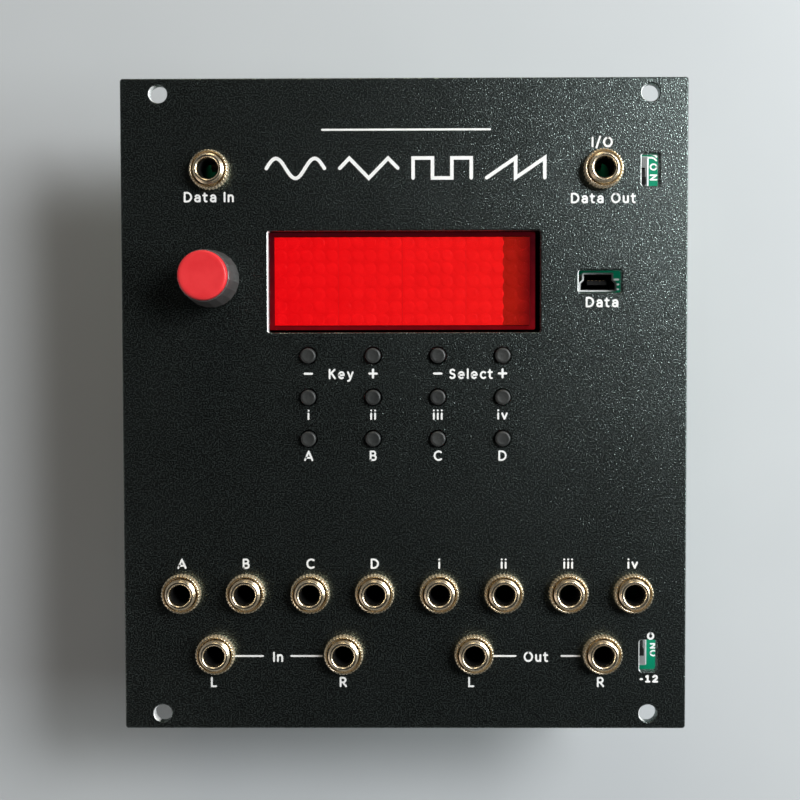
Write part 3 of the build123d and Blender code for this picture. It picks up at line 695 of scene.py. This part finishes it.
def stroke(bm, points, width, z, thickness):
    """A flat line of one width with round ends and mitred corners."""
    half, caps = width / 2, 5
    points = [Vector(point) for point in points]
    ways = [(after - before).normalized() for before, after in zip(points, points[1:])]
    left, right = [], []
    for point, inward, outward in zip(points, [ways[0], *ways], [*ways, ways[-1]]):
        direction = (inward + outward).normalized()
        side = Vector((-direction.y, direction.x))
        reach = half / max(0.45, side.dot(Vector((-inward.y, inward.x))))
        left.append(point + side * reach)
        right.append(point - side * reach)

    def cap(centre, outward):
        """Points of a half round from the line's left to its right, seen along outward."""
        base = math.atan2(outward.y, outward.x)
        return [
            centre + half * Vector((math.cos(base + a), math.sin(base + a)))
            for a in (math.pi / 2 - math.pi * i / caps for i in range(1, caps))
        ]

    outline = left + cap(points[-1], ways[-1]) + right[::-1] + cap(points[0], -ways[0])
    top, bottom = ([bm.verts.new((*p, height)) for p in outline] for height in (z + thickness, z))
    count = len(points)
    last = 2 * count + caps - 2
    for verts, order in ((top, 1), (bottom, -1)):
        for i in range(count - 1):
            quad = [verts[i], verts[last - i], verts[last - i - 1], verts[i + 1]]
            bm.faces.new(quad[::order])
        for first in (count - 1, last):
            end = [verts[(first + k) % len(verts)] for k in range(caps + 1)]
            bm.faces.new(end[::-order])
    for i in range(len(outline)):
        bm.faces.new((top[i - 1], top[i], bottom[i], bottom[i - 1]))


def waveforms():
    """Basic waveforms, each drawn as one line, over the display."""
    left, right = -27.0, 27.6
    centre, reach = 46.65, 1.95
    gap, steps = 3.0, 36
    each = (right - left + gap) / 4
    width = each - gap
    sine = [(t / steps, math.sin(3 * math.pi * t / steps)) for t in range(steps + 1)]
    triangle = ((0, 0), (1 / 6, 1), (1 / 2, -1), (5 / 6, 1), (1, 0))
    square = ((0, -1), (0, 1), (1 / 3, 1), (1 / 3, -1), (2 / 3, -1), (2 / 3, 1), (1, 1), (1, -1))
    saw = ((0, -1), (1 / 2, 1), (1 / 2, -1), (1, 1), (1, -1))
    for index, marks in enumerate((sine, triangle, square, saw)):
        start = left + index * each
        yield [(start + width * t, centre + reach * h) for t, h in marks]


def make_print():
    """All the white print: generic words, numbers, lines and waveforms."""
    bm = bmesh.new()
    channel_row, letter_row, jack_row = -1.74, -9.86, -31.3
    sign_row, dash_row, title_row = 6.37, -49.74, 54.15
    words = [
        ("Data In", -38.35, 41.1), ("I/O", 38.8, 51.6), ("Data Out", 39.1, 40.7),
        ("Data", 38.9, 20.35), ("Key", -12.45, 6.3), ("Select", 13.15, 6.3),
        ("In", -25.2, -49.9), ("Out", 26.05, -49.9), ("L", -38.0, -54.95), ("R", -12.25, -54.95),
        ("L", 13.2, -54.95), ("R", 38.85, -54.95),
    ]
    numerals, letters = ["i", "ii", "iii", "iv"], ["A", "B", "C", "D"]
    for places, row, names in (
        (buttons, channel_row, numerals), (buttons, letter_row, letters),
        (signal_jacks, jack_row, letters + numerals),
    ):
        words += [(name, place[0], row) for place, name in zip(places, names)]
    words += [("0", 48.75, -45.75), ("-12", 48.45, -54.3)]
    for text, x, y in words:
        width = 0.40 if text[-1] in "012" else line_width
        write(bm, text, x, y, panel_top, print_thickness, width)

    def line(points, width, lift=0):
        """A printed line."""
        stroke(bm, points, width, panel_top, print_thickness + lift)

    for number, (x, _) in enumerate(buttons[:4]):
        line([(x - 0.72, sign_row), (x + 0.72, sign_row)], 0.44)
        if number % 2:
            line([(x, sign_row + 0.78), (x, sign_row - 0.78)], 0.44, 0.003)
    for x0, x1 in ((-33.8, -28.2), (-22.6, -16.5), (17.5, 22.0), (31.1, 34.7)):
        line([(x0, dash_row), (x1, dash_row)], 0.36)
    for points in waveforms():
        line(points, 0.7)
    line([(-16.0, title_row), (16.9, title_row)], 0.4)
    add_piece("panel_print", bm, [ink], sharp=0)


make_print()


# ---- Jacks


def make_nuts():
    """Ring nuts with a fine knurl, a rolled rim and a dished mouth."""
    teeth, steps, bore = 34, 204, 3.06
    width = high("jack_nuts").x - low("jack_nuts").x
    outer = (width - signal_jacks[-1][0] + signal_jacks[0][0]) / 2
    rim = outer - 0.3

    def knurl(r, angle):
        """Teeth on the outer wall, fading out over the rim."""
        depth = 0.21 * max(0.0, min(1.0, (r - rim) / 0.22))
        return r - depth * (1 - abs(math.sin(teeth * angle / 2))) ** 1.2

    profile = [(bore, panel_top), *turned(
        outer, panel_top, (0.22, 0), (0.1, -0.12), (0, -0.28), (0, -1.6), (0.04, -1.74),
        (0.11, -1.87), (0.2, -1.95), (0.31, -2.0), (0.41, -1.98), (0.49, -1.91), (0.56, -1.78),
        (0.61, -1.6), (0.65, -1.35), (0.72, -1.1),
    ), (bore, panel_top + 0.95)]
    ring = bmesh.new()
    lathe(ring, profile, (0, 0), steps, knurl)
    nuts = copies(ring, jacks, turn=0.37)
    add_piece("ring_nuts", nuts, [nickel_knurled], ["jack_nuts"], sharp=50)


def make_bushings():
    """Threaded sleeves with a rolled lip and a funnelled mouth, and a dark lining."""
    foot, top = low("jack_bushings").z, high("jack_bushings").z
    bore, neck, collar = 1.8, 2.5, 2.92
    root, crest, pitch = 2.8, 2.97, 0.35
    profile = [(bore, foot), (neck, foot), (neck, panel_back), (collar, panel_back)]
    z = panel_back + 0.2
    while z < top - 0.72:
        profile += [(root, z), (crest, z + 0.11), (crest, z + 0.14), (root, z + 0.25)]
        z += pitch
    profile += [(r, top - drop) for r, drop in (
        (2.76, 0.62), (2.8, 0.5), (2.84, 0.38), (2.84, 0.27), (2.8, 0.16), (2.73, 0.08),
        (2.63, 0.02), (2.5, 0), (2.38, 0.02), (2.27, 0.07), (2.17, 0.16), (2.09, 0.29),
        (2.03, 0.45), (1.96, 0.68), (1.88, 0.95), (bore, 1.25),
    )]
    sleeve = bmesh.new()
    lathe(sleeve, profile, (0, 0), 72)
    for face in sleeve.faces:
        spot = face.calc_center_median()
        face.material_index = int(math.hypot(spot.x, spot.y) < bore + 0.06)
    sleeves, paints = copies(sleeve, jacks), [nickel, port_black]
    add_piece("threaded_bushings", sleeves, paints, ["jack_bushings"], sharp=50)


make_nuts()
make_bushings()


# ---- Buttons and knob


def make_buttons():
    """Rounded button caps, each on its own body."""
    flange_width, flange_height = 0.45, 0.8
    for number, place in enumerate(buttons, 1):
        source = f"button_{number}"
        foot, top = low(source).z, high(source).z
        flange = (high(source).x - low(source).x) / 2
        wall = flange - flange_width
        profile = [
            (0, foot), *turned(flange, foot, (0.08, 0), (0, -0.08), (0, -0.72), (0.08, -0.8)),
            (wall, foot + flange_height), *turned(
                wall, top, (0, 0.34), (0.03, 0.2), (0.11, 0.09), (0.24, 0.02), (0.38, 0),
                (0.55, 0.02),
            ), (0.8, top - 0.045), (0.4, top - 0.06), (0, top - 0.065),
        ]
        bm = bmesh.new()
        lathe(bm, profile, place, 48)
        add_piece(f"button_cap_{number}", bm, [button_grey], [source], source, 45)


def make_knob():
    """The faceted grip and its red cap."""
    facets, parts, rows = 20, 6, 6
    base_r, top_r, wall_r, bore = 5.65, 5.0, 3.8, 3.0
    skirt, skirt_r, faceted_from = 1.6, 4.4, 4.7
    step = 2 * math.pi / facets
    foot, top = low("knob_body").z, high("knob_body").z

    def facet(r, angle):
        """Flat sides on what lies outside a radius."""
        off = (angle + step / 2) % step - step / 2
        return r * math.cos(step / 2) / math.cos(off) if r >= faceted_from else r

    profile = [(skirt_r, foot), *turned(base_r, foot, (0.18, 0), (0.03, -0.12), (0, -0.3))]
    for i in range(1, rows):
        t = i / rows
        profile.append((base_r + (top_r - base_r) * t, foot + 0.3 + (top - foot - 0.6) * t))
    profile += [
        *turned(top_r, top, (0, 0.3), (0.05, 0.12), (0.16, 0.02), (0.28, 0)), (wall_r, top),
        (wall_r, top - 0.8), (bore, top - 0.8), (bore, foot + skirt), (skirt_r, foot + skirt),
    ]
    grip = bmesh.new()
    lathe(grip, profile, (0, 0), facets * parts, facet)
    grip = copies(grip, [knob_place])
    add_piece("knob_grip", grip, [knob_black], ["knob_body"], "knob", 14)
    seat = top + 0.02
    foot, top = low("knob_cap").z, high("knob_cap").z
    stem, rim = 3.78, 4.7
    profile = [
        (0, foot), (stem - 0.03, foot), (stem, foot + 0.05), (stem, seat), (rim - 0.06, seat),
        (rim, seat + 0.08), *turned(
            rim, top, (0, 0.52), (0.04, 0.34), (0.14, 0.18), (0.3, 0.06), (0.52, 0), (1.0, 0.01)
        ), (2.4, top - 0.02), (1.2, top - 0.03), (0, top - 0.03),
    ]
    cap = bmesh.new()
    lathe(cap, profile, knob_place, 96)
    add_piece("knob_red_cap", cap, [cap_red], ["knob_cap"], "knob", 40)


make_buttons()
make_knob()


# ---- Display


def make_display():
    """Dot faces on the tiles: eighteen lit columns, then two unlit ones that glow a faint red,
    fading to the right: a painted glow of light scattered from the lit dots.
    """
    dot_pitch, dot_r, lit_columns = 2.54, 1.2, 18
    rows = ((dot_r, 0.06), (dot_r, 0.12), (dot_r - 0.12, 0.2), (dot_r * 0.6, 0.26), (0, 0.28))
    for number in range(1, 5):
        tile_low, tile_high = low(f"display_tile_{number}"), high(f"display_tile_{number}")
        centre_x, centre_y = middle((tile_low, tile_high))
        z, bm = tile_high.z, bmesh.new()
        for c in range(5):
            x = centre_x + (c - 2) * dot_pitch
            beyond = 5 * (number - 1) + c - lit_columns
            left = tile_low.x - 0.04 if c == 0 else x - dot_pitch / 2
            right = tile_high.x + 0.04 if c == 4 else x + dot_pitch / 2
            near = (left - 0.3 * (beyond == 0), tile_low.y + 0.05, z)
            far = (right - 0.3 * (beyond == -1), tile_high.y - 0.05, z + 0.06)
            add_box(bm, near, far, 2 if beyond < 0 else 3)
            for r in range(7):
                place = (x, centre_y + (r - 3) * dot_pitch)
                profile = [(reach, z + rise) for reach, rise in rows]
                lathe(bm, profile, place, 32, material=0 if beyond < 0 else 1)
        add_piece(f"dot_face_{number}", bm, [glow, unlit_painted_glow, gap_painted_glow, unlit_painted_glow], sharp=40)


def make_gasket():
    """The dark foam frame round the tiles, glued under the tinted sheet. Its inner band glows dark
    red, fading towards the top: painted light from the dots.
    """
    tiles = low("display_tile_1"), high("display_tile_4")
    window = low("filter_window"), high("filter_window")
    top, corner, slack, overlap, seam_x, seam_y = window[0].z, 0.3, 0.2, 0.4, 1.9, 1.5
    width, height = (tiles[1][i] - tiles[0][i] + slack for i in range(2))
    inner = rounded_outline(*middle(tiles), width, height, corner)
    seam = rounded_outline(*middle(tiles), width + seam_x, height + seam_y, corner)
    width, height = (window[1][i] - window[0][i] - overlap for i in range(2))
    outer = rounded_outline(*middle(window), width, height, corner)
    bm = bmesh.new()
    for material, (first, second) in enumerate(((seam, inner), (outer, seam))):
        slab(bm, [(first, 0.04), (second[::-1], 0.04)], top - 0.5, top, 2, material)
    add_piece("display_gasket", bm, [foam, foam_dark])


make_display()
make_gasket()


# ---- Switches and port


def make_switches():
    """Folded covers of the slide switches, and the apron that each lever carries."""
    bm = bmesh.new()
    bend, wall = 0.3, 0.25
    levers = ("lower_lever", "upper_lever")
    for (corner, far), lever in zip(islands("switch_shells"), levers):
        x, y = middle((corner, far))
        width, length = far.x - corner.x, far.y - corner.y
        foot, top = corner.z, far.z

        def ring(inset, z, window=False):
            """A rounded ring of the cover, or of its window."""
            size = (1.4, 3.8) if window else (width - 2 * inset, length - 2 * inset)
            radius = 0.12 if window else max(bend - inset, 0.05)
            return [bm.verts.new((*p, z)) for p in rounded_outline(x, y, *size, radius)]

        rings = [ring(inset, top - drop) for inset, drop in rounding(bend, 4)]
        rings += [ring(0, foot), ring(wall, foot), ring(wall, top - wall)]
        hole = [ring(0, top, True), ring(0, top - wall, True)]
        bridge(bm, rings)
        bridge(bm, hole)
        fill(bm, (rings[0], hole[0]))
        fill(bm, (rings[-1], hole[1]))
        apron = bmesh.new()
        seat = low(lever).z + 1.0
        plate(apron, middle_of(lever), (2.0, 5.4), 0.2, 0.06, (seat - 0.05, seat + 0.45))
        name = lever.replace("lever", "apron")
        add_piece(name, apron, [slider_pale], body=lever)
    add_piece("switch_covers", bm, [steel], ["switch_shells"], sharp=40)


def make_port_painted_shade():
    """A black sleeve inside the USB port's shield, a little below its bright rim: painted shade
    over the shield's inner walls.
    """
    top = high("usb_shield").z
    loops = outline_loops("usb_shield", top)
    mouth = max(loops, key=lambda loop: min(p[0] for p in loop))[::-1]
    outer, inner = offset_loop(mouth, 0.01), offset_loop(mouth, 0.16)[::-1]
    bm = bmesh.new()
    slab(bm, [(outer, 0.02), (inner, 0.02)], top - 5.8, top - 0.35, 1)
    add_piece("port_painted_shade", bm, [port_black])


make_switches()
make_port_painted_shade()


# ---- Boards and their parts

dice = random.Random(11)
copper = 0.03
silk_width = 0.16
pin_pitch = 2.54


def make_traces(name, face, height, count):
    """Bundles of tracks with two bends of 45 degrees under the mask, and their vias."""
    bm, vias = bmesh.new(), bmesh.new()
    half_x, half_y = 52.5, height / 2 - 1.5
    lean = math.tan(math.radians(22.5))
    via = ((0, 0), (0.36, 0), (0.33, 0.05), (0.2, 0.055), (0.15, 0.03), (0, 0.03))
    for number in range(count):
        x, y = dice.uniform(-half_x, half_x), dice.uniform(-half_y, half_y)
        lanes, turn = dice.randint(2, 6), dice.choice((-1, 1))
        runs = [dice.uniform(4, 15), dice.uniform(3, 9), dice.uniform(4, 15)]
        way = Matrix.Rotation(math.pi / 2 * dice.randint(0, 3), 2)
        slope = runs[1] * math.sqrt(0.5)
        thickness = 0.014 + 0.002 * (number % 7)
        for lane in range(lanes):
            shift = 0.6 * lane
            bend = runs[0] - turn * shift * lean
            spots = (
                (0, shift), (bend, shift), (bend + slope, shift + turn * slope),
                (bend + slope + runs[2] + 0.5 * lane, shift + turn * slope),
            )
            line = [way @ Vector(spot) + Vector((x, y)) for spot in spots]
            if any(abs(p.x) > half_x or abs(p.y) > half_y for p in line):
                continue
            stroke(bm, line, 0.25, face - thickness, thickness)
            lathe(vias, [(r, face - h) for r, h in via], line[-1], 12)
    add_piece(f"{name}_traces", bm, [trace_green])
    add_piece(f"{name}_vias", vias, [tin])


def make_silkscreen():
    """White marks on the boards: frames, pin-one dots, signs, and the switches' ON."""
    bm = bmesh.new()

    def back_line(points, width, lift=0):
        """A line on the back of the main board."""
        thickness = copper + lift
        stroke(bm, points, width, main_back - thickness, thickness)

    def cross(x, y):
        """A plus sign on the back."""
        back_line([(x - 0.9, y), (x + 0.9, y)], 0.3)
        back_line([(x, y - 0.9), (x, y + 0.9)], 0.3, 0.004)

    margin = 0.45
    for name in (
        "converter_chips", "amplifier_chips", "optocoupler", "regulators", "inductors",
        "memory_chips", "processor", "capacitor_bases", "crystal", "power_shroud",
    ):
        for box in islands(name):
            x0, y0 = box[0].x - margin, box[0].y - margin
            x1, y1 = box[1].x + margin, box[1].y + margin
            corners = ((x0, y0), (x1, y0), (x1, y1), (x0, y1), (x0, y0))
            for points in zip(corners, corners[1:]):
                back_line(points, silk_width)
            dot = (box[0].x - 0.1, box[1].y + 1.15)
            back_line([dot, (dot[0] + 0.1, dot[1])], 0.6)
    for box in islands("small_chips"):
        x = middle(box)[0]
        for edge in (box[0].y - 0.3, box[1].y + 0.3):
            back_line([(x - 0.5, edge), (x + 0.5, edge)], silk_width)
    for box in islands("capacitor_bases"):
        cross(box[1].x + 1.9, middle(box)[1])
    shroud_y = middle_of("power_shroud")[1]
    place = (low("power_shroud").x - 3.4, shroud_y, main_back - copper)
    write(bm, "-12", *place, copper, 0.28, 1.2, back=True)
    cross(high("power_shroud").x + 2.4, shroud_y)
    for letters, x, y, scale, turn in (
        ("O", 51.53, 48.86, 0.76, -90), ("N", 51.53, 46.7, 0.76, -90), ("ON", 52.0, -51.6, 0.72, 90)
    ):
        write(bm, letters, x, y, front_top, copper, 0.32, scale, turn)
    for width, points in (
        (0.36, ((50.38, 50.77), (51.2, 50.77), (51.62, 50.6), (52.1, 50.19))),
        (0.36, ((51.42, 51.43), (51.93, 51.22), (52.14, 50.9))),
        *((0.42, ((43.55, y), (44.35, y))) for y in (25.7, 24.7, 23.7)),
    ):
        stroke(bm, points, width, front_top, copper)
    add_piece("board_silkscreen", bm, [silk])


def make_solder():
    """Cones of solder round the clipped pins of the parts on both boards."""
    bm = bmesh.new()
    cone = ((0, 0), (0.8, 0), (0.68, 0.1), (0.44, 0.34), (0.33, 0.66), (0.3, 1.1), (0, 1.14))
    tiles = [middle_of(f"display_tile_{number}") for number in range(1, 5)]
    header = [((i - 7.5) * pin_pitch, row * pin_pitch) for row in (-0.5, 0.5) for i in range(16)]
    tile = [(i * pin_pitch, row * pin_pitch) for row in (-3, 3) for i in range(-2, 3)]
    button = [(dx, dy) for dy in (-2.25, 2.25) for dx in (-3.2, 3.2)]
    switch = [(0, i * pin_pitch) for i in (-1, 0, 1)]
    for places, pins, face, side in (
        (middles("header_sockets"), header, main_back, -1),
        (middles("power_pins"), [(0, 0)], main_top, 1),
        (middles("jack_lugs"), ((0, 0), (-2.6, 3.4), (2.6, 3.4)), front_back, -1),
        (buttons, button, front_back, -1), (tiles, tile, front_back, -1),
        (middles("switch_bases"), switch, front_back, -1),
    ):
        profile = [(r, face + side * h) for r, h in cone]
        for x, y in places:
            for dx, dy in pins:
                lathe(bm, profile, (x + dx, y + dy), 12)
    add_piece("solder_joints", bm, [tin], sharp=50)


def make_lead(bm, x, y, side, lift, width):
    """A flat lead, bent down from a chip's side to its pad on the main board."""
    thick = 0.2
    profile = (
        (-0.1, lift), (0.28, lift), (0.52, 0), (1.0, 0), (1.0, thick), (0.62, thick),
        (0.35, lift + thick), (-0.1, lift + thick),
    )
    ends = [
        [bm.verts.new((x + side * u, y + off, main_back - h)) for u, h in profile]
        for off in (-width / 2, width / 2)
    ]
    walls = [(ends[0][i - 1], ends[0][i], ends[1][i], ends[1][i - 1]) for i in range(len(profile))]
    for corners in (*walls, *ends):
        bm.faces.new(corners).material_index = 1


def pin_dot(bm, x, y, z, radius):
    """A small flat dot under a chip's face."""
    profile = [(0, z + 0.02), (radius, z + 0.02), (radius, z - 0.02), (0, z - 0.02)]
    lathe(bm, profile, (x, y), 16, material=2)


def make_chips():
    """The moulded chips on the back, with their leads and pin-one dots."""
    for name, count, pitch in (
        ("converter_chips", 14, 0.65), ("amplifier_chips", 4, 1.27), ("optocoupler", 3, 2.54),
        ("regulators", 3, 2.3),
    ):
        bm = bmesh.new()
        for corner, far in islands(name):
            x, y = middle((corner, far))
            foot, lift = corner.z + 0.02, (main_back - corner.z) * 0.45
            width, length = far.x - corner.x - 2, far.y - corner.y
            plate(bm, (x, y), (width, length), 0.12, 0.14, (foot, main_back - 0.08), 3, 2)
            for side in (-1, 1):
                for i in range(count):
                    lead_y = y + (i - (count - 1) / 2) * pitch
                    make_lead(bm, x + side * width / 2, lead_y, side, lift, pitch * 0.45)
            pin_dot(bm, x - width / 2 + 0.7, y + length / 2 - 0.7, foot, 0.28)
        piece = name.replace("chips", "set") + "_moulded"
        add_piece(piece, bm, [chip_black, tin, silk], [name])


def make_processor():
    """The main chip: a carrier with gold pads round its edge, and its moulding."""
    corner, far = low("processor"), high("processor")
    face, size = main_back, far.x - corner.x
    moulding, pads, pad_pitch = 19.5, 16, 1.27
    x, y = middle((corner, far))
    reach = size / 2 - 0.55
    bm = bmesh.new()
    plate(bm, (x, y), (size, size), 0.3, 0.05, (face - 0.6, face))
    plate(bm, (x, y), (moulding, moulding), 0.4, 0.25, (corner.z, face - 0.5), 3)
    for i in range(pads):
        along = (i - (pads - 1) / 2) * pad_pitch
        for dx, dy in ((-1, 0), (1, 0), (0, -1), (0, 1)):
            px, py = x + dx * reach, y + dy * reach
            place, pad = ((px, py + along), (0.9, 0.7)) if dx else ((px + along, py), (0.7, 0.9))
            plate(bm, place, pad, 0.2, 0.02, (face - 0.63, face - 0.58), 1, 2, 1)
    pin_dot(bm, x - 8.6, y + 8.6, corner.z + 0.02, 0.5)
    add_piece("main_chip", bm, [chip_black, bronze, silk], ["processor"])


def make_small_chips():
    """Resistor and capacitor chips with plated ends."""
    bm = bmesh.new()
    end = 0.44
    for box in islands("small_chips"):
        x, y = middle(box)
        add_box(bm, box[0] + Vector((0.3, 0.04, 0.04)), box[1] - Vector((0.3, 0.04, 0)))
        size = box[1] - box[0]
        for side in (-1, 1):
            place = (x + side * (size.x / 2 - end / 2), y)
            plate(bm, place, (end, size.y), 0.08, 0.06, (box[0].z, box[1].z), 2, 2, 1)
    add_piece("plated_chips", bm, [chip_tan, tin], ["small_chips"])


def make_cans():
    """Capacitor cans with a rolled groove, a soft rim and the dark mark of the minus side."""
    boxes = islands("capacitor_cans")
    foot, seat = low("capacitor_cans").z, high("capacitor_cans").z
    wall = (boxes[0][1].x - boxes[0][0].x) / 2
    groove, rim, mark = 0.35, 0.6, -0.36 * wall
    profile = [(0, seat), (wall, seat)]
    for i in range(7):
        profile.append((wall - groove * math.sin(math.pi * i / 6), seat - 1.2 - i / 6))
    profile += [(wall - inset, foot + rise) for rise, inset in rounding(rim, 6)]
    profile += [(wall - 1.0, foot), (wall - 1.05, foot + 0.05), (0, foot + 0.05)]
    can = bmesh.new()
    lathe(can, profile, (0, 0), 72)
    end = [face for face in can.faces if face.calc_center_median().z < foot + 0.3]
    cut = list({item for face in end for item in (face, *face.edges, *face.verts)})
    bmesh.ops.bisect_plane(can, geom=cut, dist=1e-4, plane_co=(mark, 0, 0), plane_no=(1, 0, 0))
    for face in can.faces:
        spot = face.calc_center_median()
        if spot.z < foot + 0.3 and spot.x < mark:
            face.material_index = 1
    cans = copies(can, [middle(box) for box in boxes])
    paints = [aluminium, chip_black]
    add_piece("cans_drawn", cans, paints, ["capacitor_cans"], sharp=50)


def make_tab():
    """The stub of a break-off tab at the lower right of the front board."""
    bm = bmesh.new()
    place, span = (50.6, low("front_board").y - 0.65), (front_back + 0.05, front_top - 0.1)
    plate(bm, place, (5.2, 1.5), 0.3, 0.05, span)
    add_piece("board_tab", bm, [board])


make_traces("main", main_back, high("main_board").y * 2, 70)
make_traces("front", front_back, high("front_board").y * 2, 40)
make_silkscreen()
make_solder()
make_chips()
make_processor()
make_small_chips()
make_cans()
make_tab()


# ---- Finishes of the CAD nodes that are shown as they are

for material, names in (
    (tile_grey, "display_tile_1 display_tile_2 display_tile_3 display_tile_4"),
    (tinted, "filter_window"),
    (black_plastic, "jack_bodies button_bases encoder_base encoder_rotor switch_bases"),
    (black_plastic, "header_sockets header_plugs power_shroud capacitor_bases"),
    (bronze, "jack_springs usb_contacts power_pins"),
    (tin, "jack_lugs"),
    (steel, "button_covers encoder_can encoder_bushing encoder_shaft usb_shield"),
    (steel, "front_screws rear_screws crystal"),
    (lever_grey, "upper_lever lower_lever"),
    (port_black, "usb_block"),
    (board, "front_board main_board"),
    (nickel, "standoffs"),
    (chip_black, "memory_chips"),
    (ferrite, "inductors"),
):
    for name in names.split():
        nodes[name].data.materials.clear()
        nodes[name].data.materials.append(material)
